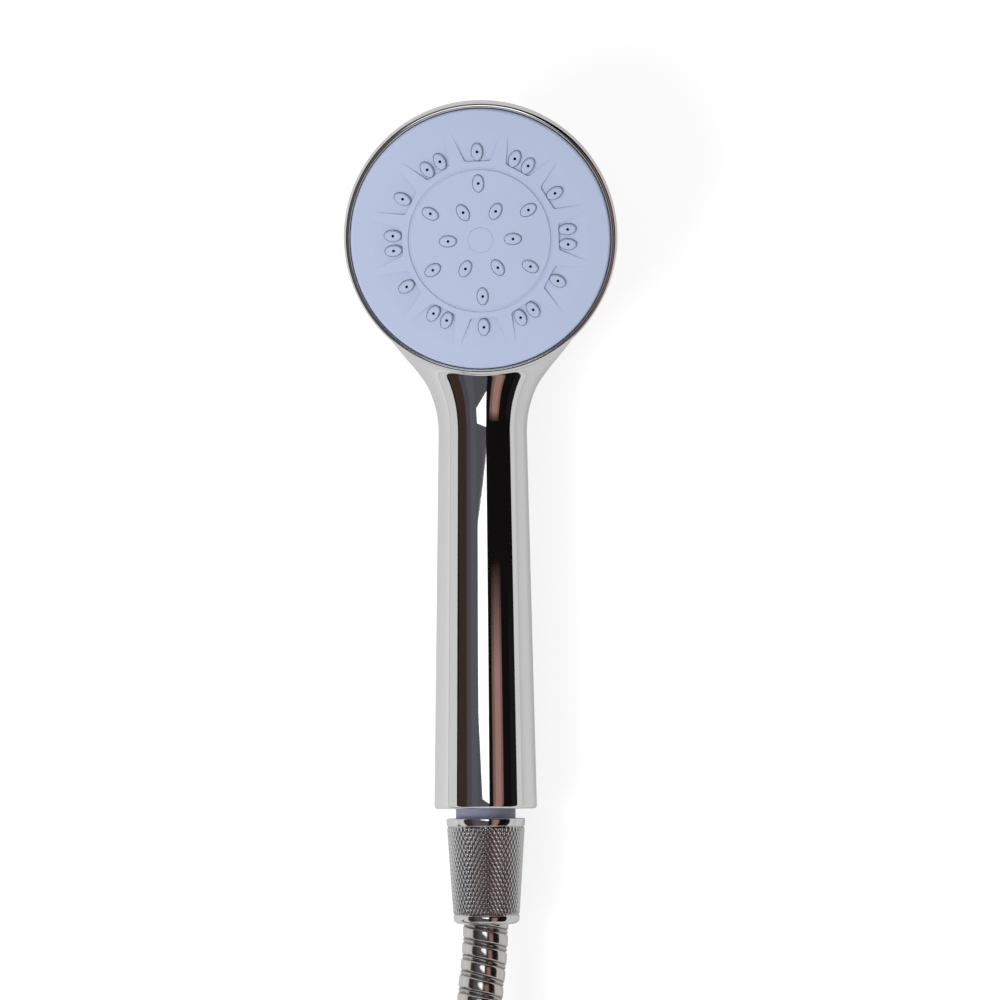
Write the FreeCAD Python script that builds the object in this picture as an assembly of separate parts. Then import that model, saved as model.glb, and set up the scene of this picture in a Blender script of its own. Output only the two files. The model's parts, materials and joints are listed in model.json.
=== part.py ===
import FreeCAD, Part
import math
import os

from FreeCAD import Placement, Rotation, Vector

# Handheld shower head with its metal hose, lying on its back. Millimetres, +Z up.
# +Y runs from the hose towards the head and +X is to the right of the spray face.
# Each piece is drawn in the handle's frame: the handle's axis is Y at z = 0 and its lower end is y = 0.
# The last step moves everything, so that the origin lies under the middle of the handset.

# ---- driving dimensions ----
# handle
handle_end_r = 16.0
handle_top_r = 14.0
handle_length = 119.0
handle_wall = 2.4
bore_step = 1.0
bore_inset = 0.3
bore_overlap = 3.0
handle_edge_round = 1.1

# head
head_r = 42.0
head_bulge = 0.4
head_bulge_depth = 5.0
head_depth = 27.0
head_tilt = 19.0
head_wall = 2.2
rim_lip = 1.65
rim_round = 0.9
rim_chamfer = 0.35
rim_setback = 15.0
rim_rise = 4.0
flare_r = 31.0
neck_overlap = 0.9

# spray plate and what it holds
plate_gap = 0.2
plate_drop = 0.2
plate_thickness = 3.2
plate_round = 0.9
plate_skirt = 1.3
plate_skirt_depth = 5.8
face_turn = 1.7
nozzle_rings = ((10.0, 0.0, 6), (17.4, 30.0, 6), (27.0, 30.0, 6), (27.0, 4.9, 6), (27.0, -4.9, 6))
nozzle_long = 5.6
nozzle_wide = 3.75
nozzle_gap = 0.15
nozzle_slope = 0.4
nozzle_height = 0.6
nozzle_hole_r = 0.45
ring_groove_r = 21.95
ring_groove_width = 0.9
ring_groove_depth = 0.3
pocket_count = 12
pocket_inner_r = 24.1
pocket_outer_r = 33.0
pocket_inner_half = 4.0
pocket_outer_half = 7.8
pocket_depth = 0.6
pocket_round = 1.0
cap_r = 3.85
cap_thickness = 1.0
cap_gap = 0.05

# water chamber inside the head
mat_thickness = 1.6
diffuser_thickness = 1.5
diffuser_hole_r = 1.2
seal_ring_r = 1.0
chamber_flange_depth = 2.0
chamber_flange_width = 2.7
chamber_depth = 7.3
chamber_wall = 1.8
duct_r = 7.5
duct_wall = 1.8
duct_landing = 18.0
boss_r = 3.4
boss_ring_r = 27.0
screw_r = 1.25
screw_head_r = 2.6
screw_head_depth = 1.5
screw_length = 9.0
washer_height = 0.5
post_r = 4.5

# inlet tube in the handle, with its G1/2 thread
tube_r = 8.0
tube_bore_r = 6.0
tube_flange_length = 6.5
tube_flange_inset = 0.5
tube_top = 128.0
filter_seat = -5.0
restrictor_step = 0.7
restrictor_thickness = 4.0
socket_length = 11.0
socket_wall = 1.8
slip_gap = 0.1
thread_major_r = 10.4775
thread_minor_r = 9.3
thread_pitch = 1.814
thread_end = -14.5
thread_start = -3.2
small_ring_r = 0.9

# knurled cone nut
nut_gap = 2.9
nut_length = 32.4
nut_top_r = 12.3
nut_bottom_r = 10.1
nut_band_top = 2.3
nut_band_bottom = 2.5
nut_groove = 0.3
nut_thread_gap = 0.07
nut_lip_length = 3.3

# hose and its end fittings
hose_r = 7.0
hose_gap = 0.35
washer_r = 9.2
washer_bore_r = 5.5
washer_thickness = 2.0
tailpiece_flange_r = 9.7
tailpiece_flange = 2.0
tailpiece_neck = 2.0
tailpiece_bore_r = 4.5
sleeve_gap = 0.02
sleeve_wall = 0.8
sleeve_length = 13.0
seat_gap = 0.1
wall_nut_across_flats = 24.0
wall_nut_length = 16.0
seat_relief = 0.25
wall_nut_shoulder = 2.5
floor_gap = 0.3

# coil of the put-away hose on the surface: one turn lies on top, then an inner and an outer turn below
coil_centre = (-55.2, -153.4)
coil_top_r = 76.0
coil_inner_r = 68.0
coil_outer_r = 84.0
coil_height = 29.0
coil_angles = (27.0, -255.0, -355.0, -545.0, -665.0, -900.0)

tolerance = 0.001
axis_y = Vector(0, 1, 0)
axis_z = Vector(0, 0, 1)
origin = Vector(0, 0, 0)
full_turn = 360.0


# ---- small helpers ----
def turned(profile, axis=axis_y):
    """A solid of revolution. The profile's points are (radius, place along the axis)."""
    if axis == axis_y:
        points = [Vector(r, along, 0) for r, along in profile]
    else:
        points = [Vector(r, 0, along) for r, along in profile]
    face = Part.Face(Part.makePolygon(points + points[:1]))
    return face.revolve(origin, axis, full_turn)


def disc(radius, low, high, centre=(0.0, 0.0)):
    """A cylinder along Z between two heights."""
    return Part.makeCylinder(radius, high - low, Vector(centre[0], centre[1], low), axis_z)


def ring(outer, inner, low, high):
    return disc(outer, low, high).cut(disc(inner, low - 1, high + 1))


def barrel(radius, low, high, z=0.0):
    """A cylinder along Y between two places."""
    return Part.makeCylinder(radius, high - low, Vector(0, low, z), axis_y)


def polar(radius, degrees):
    angle = math.radians(degrees)
    return radius * math.cos(angle), radius * math.sin(angle)


# ---- the head's own frame: x right, y up across the face, z out of it, z = 0 at the rim ----
tilt = math.radians(head_tilt)
rim_bottom = (handle_length + rim_setback, handle_top_r + rim_rise)
face_centre = Vector(0, rim_bottom[0] + head_r * math.cos(tilt), rim_bottom[1] + head_r * math.sin(tilt))
head_place = Placement(face_centre, Rotation(Vector(1, 0, 0), head_tilt))


def to_head(shape):
    """Moves a piece drawn in the head's frame to the handle's frame."""
    moved = shape.copy()
    moved.Placement = head_place.multiply(moved.Placement)
    return moved


def in_head(y, z):
    """(across the face, out of the face) of a point on the middle plane of the handle's frame."""
    point = head_place.inverse().multVec(Vector(0, y, z))
    return point.y, point.z


# ---- body shell ----
bowl_r = head_r + head_bulge
bowl_depth = head_depth - head_bulge_depth
opening_r = head_r - rim_lip
ledge = -(plate_drop + plate_skirt_depth)
ledge_r = opening_r - plate_skirt - 0.3
inner_r = bowl_r - head_wall
inner_depth = bowl_depth - head_wall


def bowl(radius, depth, rim_edges):
    """A revolved bowl: a quarter ellipse from the middle of its back to its widest place, then the rim's edges."""
    centre = Vector(0, 0, -head_bulge_depth)
    curve = Part.Ellipse(centre + Vector(radius, 0, 0), centre + Vector(0, 0, depth), centre)
    quarter = Part.ArcOfEllipse(curve, 1.5 * math.pi, 2 * math.pi).toBSpline()
    points = [quarter.EndPoint] + [Vector(r, 0, along) for r, along in rim_edges] + [quarter.StartPoint]
    edges = [quarter.toShape(), Part.makePolygon(points)]
    wire = Part.Wire(Part.__sortEdges__([edge for shape in edges for edge in shape.Edges]))
    return Part.Face(wire).revolve(origin, axis_z, full_turn)


# The neck flares from the handle to the head. Each row: share of the way from the handle to the
# far end, half width beyond the handle's radius (None follows the flare's arc), front, back.
neck_length = rim_setback + head_r * neck_overlap
neck_rows = (
    (0.0, None, 0.0, 0.0),
    (0.1, None, 0.3, 0.3),
    (0.2, None, 1.1, 1.0),
    (0.3, None, 2.2, 2.0),
    (0.4, None, 3.2, 3.6),
    (0.53, 10.9, 4.6, 6.4),
    (0.67, 11.6, 6.4, 10.0),
    (0.83, 9.5, 8.6, 14.6),
    (1.0, 5.0, 11.0, 20.5),
)


def flat_ellipse(y, half_x, low, top):
    """A closed section across the handle's axis, at least as wide as it is high."""
    half_z = (top - low) / 2
    half_x = max(half_x, half_z + 0.01)
    centre = Vector(0, y, (top + low) / 2)
    curve = Part.Ellipse(centre + Vector(half_x, 0, 0), centre + Vector(0, 0, half_z), centre)
    return Part.Wire(curve.toShape())


def neck_section(row, inset):
    share, half, front, back = row
    y = handle_length + share * neck_length
    if half is None:
        along = min(y - handle_length, flare_r * 0.95)
        half = flare_r - math.sqrt(flare_r ** 2 - along ** 2)
    return flat_ellipse(y, handle_top_r + half - inset, -handle_top_r + back + inset, handle_top_r + front - inset)


def neck_root(inset):
    return neck_section(neck_rows[0], inset)


def neck(inset):
    """The lofted neck, or with an inset its hollow."""
    return Part.makeLoft([neck_section(row, inset) for row in neck_rows], True, False)


def handle_outline():
    """The handle's outside, down from the neck's first section; its lower edge is rounded."""
    body = Part.makeLoft([flat_ellipse(0, handle_end_r, -handle_end_r, handle_end_r), neck_root(0)], True, True)
    lower = [edge for edge in body.Edges if edge.BoundBox.YMax < tolerance]
    return body.makeFillet(handle_edge_round, lower)


def screw_places():
    return [polar(boss_ring_r, 90 + full_turn * i / 3) for i in range(3)]


def make_body_shell():
    rim = [
        (head_r, -rim_round),
        (head_r - rim_round * 0.3, -rim_round * 0.3),
        (head_r - rim_round, 0),
        (opening_r + rim_chamfer, 0),
        (0, 0),
    ]
    body = neck(0).fuse(to_head(bowl(bowl_r, bowl_depth, rim)))
    body = body.fuse(handle_outline())
    mouth = to_head(turned([
        (0, 1),
        (opening_r + rim_chamfer + 1, 1),
        (opening_r, -rim_chamfer),
        (opening_r, ledge),
        (0, ledge),
    ], axis_z))
    room = bowl(inner_r, inner_depth, [(0, -head_bulge_depth)]).common(disc(ledge_r, -head_depth, ledge))
    room = to_head(room)
    slope = (handle_end_r - handle_top_r) / handle_length
    bore = turned([
        (0, -1),
        (plug_bore_r, -1),
        (plug_bore_r, plug_bore_end),
        (handle_end_r - handle_wall - slope * plug_bore_end - bore_step, plug_bore_end),
        (handle_top_r - handle_wall - bore_inset, handle_length + bore_overlap),
        (0, handle_length + bore_overlap),
    ])
    bosses = []
    for x, y in screw_places():
        boss = disc(boss_r, -head_depth, chamber_back, (x, y))
        bosses.append(to_head(boss.cut(disc(screw_r - 0.1, chamber_back - screw_length, 1, (x, y)))))
    shell = body.cut([mouth, room, neck(handle_wall), bore])
    kept = [boss.common(body) for boss in bosses]
    return shell.fuse(kept)


# ---- the head's inside, drawn in the head's frame ----
plate_r = opening_r - plate_gap
plate_front = -plate_drop
plate_back = plate_front - plate_thickness
skirt_inner_r = plate_r - plate_skirt
hub_depth = 1.0
hub_r = post_r + 1.0
mat_r = skirt_inner_r - 2 * seal_ring_r - seat_gap * 2
mat_front = plate_back
mat_back = mat_front - mat_thickness
diffuser_back = mat_back - diffuser_thickness
chamber_back = diffuser_back - chamber_depth
flange_r = ledge_r - 0.3
flange_back = diffuser_back - chamber_flange_depth
chamber_r = flange_r - chamber_flange_width
screw_seat = plate_front - cap_thickness - screw_head_depth - washer_height
plug_bore_r = handle_end_r - handle_wall
plug_bore_end = tube_flange_inset + tube_flange_length + slip_gap


def nozzle_places():
    """Each nozzle's place and the direction of its long side, in degrees."""
    for radius, first, count in nozzle_rings:
        for i in range(count):
            angle = first + full_turn * i / count + face_turn
            yield polar(radius, angle), angle


def oval(long_side, wide_side, low, high, place, angle, top_long=None, top_wide=None):
    """An oval peg between two heights; with top sizes it tapers towards its top."""
    def outline(length, width, height):
        curve = Part.Ellipse(Vector(length / 2, 0, height), Vector(0, width / 2, height), Vector(0, 0, height))
        return Part.Wire(curve.toShape())
    if top_long is None:
        peg = Part.Face(outline(long_side, wide_side, low)).extrude(Vector(0, 0, high - low))
    else:
        peg = Part.makeLoft([outline(long_side, wide_side, low), outline(top_long, top_wide, high)], True, True)
    peg.Placement = Placement(Vector(place[0], place[1], 0), Rotation(axis_z, angle))
    return peg


def ray_pocket(angle):
    """A shallow pocket that is deepest at its inner end and fades out towards the rim."""
    points = [
        Vector(pocket_inner_r, -pocket_inner_half, 0),
        Vector(pocket_outer_r, -pocket_outer_half, 0),
        Vector(pocket_outer_r, pocket_outer_half, 0),
        Vector(pocket_inner_r, pocket_inner_half, 0),
    ]
    prism = Part.Face(Part.makePolygon(points + points[:1])).extrude(Vector(0, 0, 3 * pocket_depth))
    corners = [e for e in prism.Edges if e.BoundBox.ZLength > pocket_depth and e.BoundBox.XMax < pocket_inner_r + 1]
    prism = prism.makeFillet(pocket_round, corners)
    lean = math.degrees(math.atan2(pocket_depth, pocket_outer_r - pocket_inner_r))
    prism.rotate(Vector(pocket_outer_r, 0, 0), axis_y, -lean)
    prism.translate(Vector(0, 0, plate_front))
    prism.rotate(origin, axis_z, angle)
    return prism


def make_spray_plate():
    body = disc(plate_r, plate_front - plate_skirt_depth, plate_front)
    front = [e for e in body.Edges if e.Closed and e.BoundBox.ZMin > plate_front - tolerance]
    body = body.makeFillet(plate_round, front)
    hub = disc(hub_r, plate_back - hub_depth, plate_back)
    hollow = disc(skirt_inner_r, plate_front - plate_skirt_depth - 1, plate_back).cut(hub)
    cuts = [
        hollow,
        ring(ring_groove_r + ring_groove_width / 2, ring_groove_r - ring_groove_width / 2,
             plate_front - ring_groove_depth, plate_front + 1),
        disc(cap_r + cap_gap, plate_front - cap_thickness, plate_front + 1),
        disc(screw_head_r + 0.4, screw_seat, plate_front),
        disc(screw_r + 0.3, plate_back - hub_depth - 1, plate_front),
    ]
    for place, angle in nozzle_places():
        cuts.append(oval(nozzle_long, nozzle_wide, plate_back - 1, plate_front + 1, place, angle))
    for i in range(pocket_count):
        cuts.append(ray_pocket(face_turn + full_turn * i / pocket_count))
    return body.cut(cuts)


def make_nozzle_mat():
    mat = ring(mat_r, hub_r + 0.2, mat_back, mat_front)
    length = nozzle_long - 2 * nozzle_gap
    width = nozzle_wide - 2 * nozzle_gap
    top = plate_front + nozzle_height
    pegs = []
    holes = []
    for place, angle in nozzle_places():
        pegs.append(oval(length, width, mat_front - 0.5, plate_front, place, angle))
        pegs.append(oval(length, width, plate_front, top, place, angle,
                         length - 2 * nozzle_slope, width - 2 * nozzle_slope))
        holes.append(disc(nozzle_hole_r, mat_back - 1, top + 1, place))
    return mat.fuse(pegs).cut(holes).removeSplitter()


def make_screw_cap():
    return disc(cap_r, plate_front - cap_thickness + 0.02, plate_front + 0.05)


def make_screw_washer():
    return ring(screw_head_r, screw_r + 0.1, screw_seat, screw_seat + washer_height)


def make_centre_screw():
    seat = screw_seat + washer_height
    return turned([
        (0, seat - screw_length),
        (screw_r * 0.5, seat - screw_length),
        (screw_r, seat - screw_length + 1),
        (screw_r, seat),
        (screw_head_r, seat),
        (screw_head_r, seat + screw_head_depth - 0.5),
        (screw_head_r - 0.4, seat + screw_head_depth - 0.1),
        (0, seat + screw_head_depth - 0.1),
    ], axis_z)


def make_diffuser_plate():
    plate = ring(mat_r, post_r + 0.1, diffuser_back, mat_back)
    holes = [disc(diffuser_hole_r, diffuser_back - 1, mat_back + 1, place) for place, angle in nozzle_places()]
    return plate.cut(holes)


def make_chamber_seal():
    middle = (mat_front + diffuser_back) / 2
    seal = Part.makeTorus(mat_r + seat_gap + seal_ring_r, seal_ring_r - 0.01)
    seal.translate(Vector(0, 0, middle))
    return seal


def make_chamber_back():
    cup = turned([
        (0, chamber_back),
        (chamber_r, chamber_back),
        (chamber_r, flange_back),
        (flange_r, flange_back),
        (flange_r, diffuser_back),
        (chamber_r - chamber_wall, diffuser_back),
        (chamber_r - chamber_wall, chamber_back + chamber_wall),
        (post_r, chamber_back + chamber_wall),
        (post_r, plate_back - hub_depth),
        (0, plate_back - hub_depth),
    ], axis_z)
    cup = cup.cut(disc(screw_r - 0.1, screw_seat + washer_height - screw_length - 0.5, 0))
    floor_holes = [disc(screw_r + 0.1, chamber_back - 1, 0, place) for place in screw_places()]
    cup = to_head(cup.cut(floor_holes))
    socket_low = tube_top - socket_length
    socket = barrel(tube_r + slip_gap + socket_wall, socket_low, tube_top + 3)
    duct, duct_bore = duct_pieces()
    room = to_head(disc(chamber_r - chamber_wall, chamber_back + chamber_wall, 0))
    pipe = socket.fuse(duct.cut(room))
    body = cup.fuse(pipe)
    bores = [
        barrel(tube_r + slip_gap, socket_low - 1, tube_top + slip_gap),
        barrel(tube_bore_r, socket_low, tube_top + 3 - duct_wall),
        duct_bore,
    ]
    return body.cut(bores)


def duct_pieces():
    """The sloping duct from the tube's socket up to the chamber's floor, and its bore."""
    start = Vector(0, tube_top + 1, 0)
    landing = head_place.multVec(Vector(0, -duct_landing, chamber_back + chamber_wall / 2))
    line = landing - start
    run = line.Length
    duct = Part.makeCylinder(duct_r, run + 4, start, line)
    bore = Part.makeCylinder(duct_r - duct_wall, run + 10, start, line)
    return duct.cut(to_head(disc(chamber_r, chamber_back + chamber_wall, 10))), bore


def make_chamber_screws():
    screws = []
    for x, y in screw_places():
        seat = chamber_back + chamber_wall
        shank = disc(screw_r, seat - screw_length, seat, (x, y))
        screws.append(shank.fuse(disc(screw_head_r, seat, seat + screw_head_depth, (x, y))).removeSplitter())
    return Part.makeCompound(screws)


# ---- pieces on the handle's axis ----
def make_inlet_tube():
    flange_low = tube_flange_inset
    flange_high = flange_low + tube_flange_length
    groove = flange_low + tube_flange_length / 2
    outside = [(thread_minor_r, flange_low), (plug_bore_r - 0.05, flange_low)]
    outside += ring_groove(plug_bore_r - 0.05, groove)
    outside += [(plug_bore_r - 0.05, flange_high), (tube_r, flange_high)]
    outside += ring_groove(tube_r, tube_top - socket_length / 2)
    outside += [(tube_r, tube_top)]
    inside = [(tube_bore_r - restrictor_step, tube_top), (tube_bore_r - restrictor_step, filter_seat),
              (tube_bore_r, filter_seat), (tube_bore_r, thread_end)]
    return turned(outside + inside + thread_profile())


def ring_groove(radius, middle):
    """The profile of a groove for an O-ring in a shaft, from low to high."""
    half = small_ring_r + 0.1
    floor = radius - 2 * small_ring_r + 0.15
    return [(radius, middle - half), (floor, middle - half), (floor, middle + half), (radius, middle + half)]


def thread_profile():
    """The outside of the threaded end, from its face up to the collar, as rings of the true thread depth."""
    points = [(thread_minor_r - 0.3, thread_end), (thread_minor_r, thread_end + 0.3)]
    place = thread_end + 0.5
    while place + thread_pitch < thread_start:
        points += [
            (thread_minor_r, place),
            (thread_major_r, place + thread_pitch * 0.38),
            (thread_major_r, place + thread_pitch * 0.52),
            (thread_minor_r, place + thread_pitch * 0.9),
        ]
        place += thread_pitch
    return points


def make_small_ring(radius, middle):
    """An O-ring in a groove of a shaft with this radius."""
    ring_middle = radius - small_ring_r + 0.15 + 0.01
    seal = Part.makeTorus(ring_middle, small_ring_r, origin, axis_y)
    seal.translate(Vector(0, middle, 0))
    return seal


def make_flow_restrictor():
    high = filter_seat
    low = high - restrictor_thickness
    plug = turned([(0, low), (tube_bore_r - seat_gap, low), (tube_bore_r - seat_gap, high), (0, high)])
    holes = []
    for i in range(6):
        x, z = polar(3.2, i * full_turn / 6)
        holes.append(Part.makeCylinder(0.9, restrictor_thickness + 2, Vector(x, low - 1, z), axis_y))
    return plug.cut(holes)


def make_filter_screen():
    high = filter_seat - restrictor_thickness
    low = high - 0.8
    screen = turned([(0, low), (tube_bore_r - seat_gap, low), (tube_bore_r - seat_gap, high), (0, high)])
    holes = []
    steps = range(-3, 4)
    for i in steps:
        for k in steps:
            x, z = i * 1.4, k * 1.4
            if math.hypot(x, z) < tube_bore_r - 1.2:
                holes.append(Part.makeBox(0.9, 3, 0.9, Vector(x - 0.45, low - 1, z - 0.45)))
    return screen.cut(holes)


def make_cone_nut():
    high = -nut_gap
    low = high - nut_length
    slope = (nut_top_r - nut_bottom_r) / nut_length

    def outside(along):
        return nut_top_r - slope * (high - along)

    groove_high = high - nut_band_top
    groove_low = low + nut_band_bottom
    return turned([
        (nut_bore_r + 0.4, high),
        (nut_top_r - 0.3, high),
        (outside(high - 0.3), high - 0.3),
        (outside(groove_high), groove_high),
        (outside(groove_high) - nut_groove, groove_high),
        (outside(groove_high) - nut_groove, groove_high - 0.4),
        (outside(groove_high - 0.4), groove_high - 0.4),
        (outside(groove_low + 0.4), groove_low + 0.4),
        (outside(groove_low + 0.4) - nut_groove, groove_low + 0.4),
        (outside(groove_low + 0.4) - nut_groove, groove_low),
        (outside(groove_low), groove_low),
        (outside(low + 0.9), low + 0.9),
        (nut_bottom_r - 0.9, low),
        (hose_r + hose_gap, low),
        (hose_r + hose_gap, low + nut_lip_length),
        (sleeve_r + hose_gap, low + nut_lip_length),
        (sleeve_r + hose_gap, nut_shoulder),
        (nut_bore_r, nut_shoulder),
        (nut_bore_r, high - 0.4),
    ])


def tailpiece(face):
    """The hose's end piece: a flange that carries the washer, and a neck that meets the hose."""
    return turned([
        (tailpiece_bore_r, face),
        (tailpiece_flange_r, face),
        (tailpiece_flange_r, face - tailpiece_flange),
        (hose_r, face - tailpiece_flange),
        (hose_r, face - tailpiece_flange - tailpiece_neck),
        (tailpiece_bore_r, face - tailpiece_flange - tailpiece_neck),
    ])


def washer(face):
    return turned([
        (washer_bore_r, face),
        (washer_r, face),
        (washer_r, face - washer_thickness),
        (washer_bore_r, face - washer_thickness),
    ])


def crimp_sleeve(top):
    """The sleeve that grips the hose's end."""
    return turned([
        (hose_r + sleeve_gap, top),
        (sleeve_r, top),
        (sleeve_r, top - sleeve_length),
        (hose_r + sleeve_gap, top - sleeve_length),
    ])


nut_bore_r = thread_major_r + nut_thread_gap
sleeve_r = hose_r + sleeve_wall
top_face = thread_end
tail_face = top_face - washer_thickness
nut_shoulder = tail_face - tailpiece_flange - seat_gap
hose_start = tail_face - tailpiece_flange - tailpiece_neck
wall_thread_start = top_face + seat_gap


# ---- the hose ----
def tangent_path(points):
    """Straight runs joined by tangent arcs. The arc's radius is 0.45 of the shorter run over tan(half turn)."""
    edges = []
    start = points[0]
    length = 0.0
    for before, corner, after in zip(points, points[1:], points[2:]):
        first = (corner - before).normalize()
        second = (after - corner).normalize()
        turn = first.getAngle(second)
        cut = 0.45 * min((corner - before).Length, (after - corner).Length)
        radius = cut / math.tan(turn / 2)
        enter = corner - first * cut
        leave = corner + second * cut
        inward = (second - first).normalize()
        middle = corner + inward * (radius / math.cos(turn / 2) - radius)
        edges.append(Part.LineSegment(start, enter).toShape())
        edges.append(Part.Arc(enter, middle, leave).toShape())
        start = leave
        print("hose arc: turn", round(math.degrees(turn), 1), "deg, radius", round(radius, 1), "mm")
    edges.append(Part.LineSegment(start, points[-1]).toShape())
    return Part.Wire(edges)


def hose_along(points, radius):
    path = tangent_path(points)
    first = (points[1] - points[0]).normalize()
    circle = Part.Wire(Part.makeCircle(radius, points[0], first))
    solid = path.makePipeShell([circle], True, True)
    expected = math.pi * radius ** 2 * path.Length
    print("hose run:", round(path.Length, 1), "mm long, volume over section x length:",
          round(solid.Volume / expected, 5))
    return solid


floor = -(handle_end_r - (handle_end_r - handle_top_r) / handle_length * handle_edge_round)
coil_x, coil_y = coil_centre
lie = floor + hose_r


def coil_point(radius, angle, height):
    x, y = polar(radius, angle)
    return Vector(coil_x + x, coil_y + y, floor + height)


def run_points():
    """The hose from its upper end to the start of the coil's top turn, up over the outer turn."""
    return [
        Vector(0, hose_start, 0),
        Vector(0, hose_start - 20.5, 0),
        Vector(-2.9, hose_start - 40.5, floor + 18.4),
        Vector(-1.4, hose_start - 60.5, floor + 21.9),
        Vector(4.0, hose_start - 79.8, floor + 22.2),
        coil_point(coil_top_r, coil_angles[0], 21.6),
    ]


nut_height = floor + wall_nut_across_flats / math.sqrt(3) + floor_gap


def tail_points():
    """The hose from the coil's outer turn to its far end piece, which its nut holds off the surface."""
    start = coil_point(coil_outer_r, coil_angles[-1], hose_r)
    x, y = start.x, start.y
    return [
        start,
        Vector(x + 1.5, y + 18.0, lie + 0.8),
        Vector(x + 5.0, y + 36.0, lie + 4.5),
        Vector(x + 6.0, y + 54.0, nut_height),
        Vector(x + 6.0, y + 71.5, nut_height),
    ]


def coil_length():
    """Length of the coiled hose: top turn, way down, inner turn, way out and outer turn."""
    radii = (coil_top_r, coil_top_r, coil_inner_r, coil_inner_r, coil_outer_r, coil_outer_r)
    total = 0.0
    for i in range(len(radii) - 1):
        turn = math.radians(coil_angles[i] - coil_angles[i + 1])
        total += turn * (radii[i] + radii[i + 1]) / 2
    return total


def make_hose_coil():
    """The outer shape of the whole coil: the two lower turns' ring with the top turn's ring on it."""
    inner = coil_inner_r - hose_r
    outer = coil_outer_r + hose_r
    shelf = floor + 2 * hose_r
    top = floor + coil_height
    return turned([
        (inner, floor),
        (outer, floor),
        (outer, shelf),
        (coil_top_r + hose_r, shelf),
        (coil_top_r + hose_r, top),
        (coil_top_r - hose_r, top),
        (coil_top_r - hose_r, shelf),
        (inner, shelf),
    ], axis_z)


def make_wall_nut():
    """A plain hexagon nut with chamfered ends, drawn at the upper end and moved to the far one."""
    low = nut_shoulder - wall_nut_shoulder
    high = low + wall_nut_length
    corner = wall_nut_across_flats / math.sqrt(3)
    flat = wall_nut_across_flats / 2
    points = []
    for i in range(7):
        x, z = polar(corner, 90 + 60 * i)
        points.append(Vector(x, low, z))
    hexagon = Part.Face(Part.makePolygon(points)).extrude(Vector(0, high - low, 0))
    rounder = turned([
        (0, low),
        (flat - 0.3, low),
        (corner, low + 1.0),
        (corner, high - 1.0),
        (flat - 0.3, high),
        (0, high),
    ])
    bore = turned([
        (0, low - 1),
        (sleeve_r + hose_gap, low - 1),
        (sleeve_r + hose_gap, nut_shoulder),
        (nut_bore_r + seat_relief, nut_shoulder),
        (nut_bore_r + seat_relief, wall_thread_start),
        (nut_bore_r, wall_thread_start + seat_relief),
        (nut_bore_r, high - 0.5),
        (nut_bore_r + 0.5, high),
        (nut_bore_r + 0.5, high + 1),
        (0, high + 1),
    ])
    return hexagon.common(rounder).cut(bore)


def moved(shape, shift):
    copy = shape.copy()
    copy.translate(shift)
    return copy


# ---- everything, by node ----
far_end = tail_points()[-1]
far_shift = Vector(far_end.x, far_end.y - hose_start, far_end.z)
sleeve_top = tail_face - tailpiece_flange

handset = {
    "body_shell": make_body_shell(),
    "spray_plate": to_head(make_spray_plate()),
    "nozzle_mat": to_head(make_nozzle_mat()),
    "screw_cap": to_head(make_screw_cap()),
    "centre_screw": to_head(make_centre_screw()),
    "screw_washer": to_head(make_screw_washer()),
    "diffuser_plate": to_head(make_diffuser_plate()),
    "chamber_seal": to_head(make_chamber_seal()),
    "chamber_back": make_chamber_back(),
    "chamber_screws": to_head(make_chamber_screws()),
    "inlet_tube": make_inlet_tube(),
    "inlet_o_ring": make_small_ring(plug_bore_r - 0.05, tube_flange_inset + tube_flange_length / 2),
    "outlet_o_ring": make_small_ring(tube_r, tube_top - socket_length / 2),
    "flow_restrictor": make_flow_restrictor(),
    "filter_screen": make_filter_screen(),
    "cone_nut": make_cone_nut(),
}
cord = {
    "hose_washer_top": washer(top_face),
    "tailpiece_top": tailpiece(tail_face),
    "crimp_sleeve_top": crimp_sleeve(sleeve_top),
    "hose_run": hose_along(run_points(), hose_r),
    "hose_coil": moved(make_hose_coil(), Vector(coil_x, coil_y, 0)),
    "hose_tail": hose_along(tail_points(), hose_r),
    "crimp_sleeve_bottom": moved(crimp_sleeve(sleeve_top), far_shift),
    "tailpiece_bottom": moved(tailpiece(tail_face), far_shift),
    "hose_washer_bottom": moved(washer(top_face), far_shift),
    "wall_nut": moved(make_wall_nut(), far_shift),
}

box = FreeCAD.BoundBox()
for shape in handset.values():
    box.add(shape.optimalBoundingBox(False, False))
shift = Vector(-box.Center.x, -box.Center.y, -box.ZMin)
print("shift to the origin:", [round(v, 4) for v in shift])

os.makedirs("parts", exist_ok=True)
for name, shape in {**handset, **cord}.items():
    placed = moved(shape, shift)
    if not placed.isValid():
        print("NOT VALID:", name)
    placed.exportStep("parts/" + name + ".step")

print("coil:", round(coil_length(), 1), "mm of hose in", round((coil_angles[0] - coil_angles[-1]) / full_turn, 3),
      "turns")
for label, point in (
    ("hose exit", Vector(0, -nut_gap - nut_length, 0)),
    ("handle axis at its lower end", origin),
    ("face centre", face_centre),
    ("coil centre", Vector(coil_x, coil_y, floor)),
    ("far end of the hose", far_end),
    ("wall nut's thread, from", far_shift + Vector(0, wall_thread_start + seat_relief, 0)),
    ("wall nut's mouth", Vector(far_end.x, far_shift.y + nut_shoulder - wall_nut_shoulder + wall_nut_length,
                                far_end.z)),
):
    print(label, [round(v, 3) for v in point + shift])
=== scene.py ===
import json
import math

import bpy
import numpy as np
from mathutils import Matrix, Vector

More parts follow.
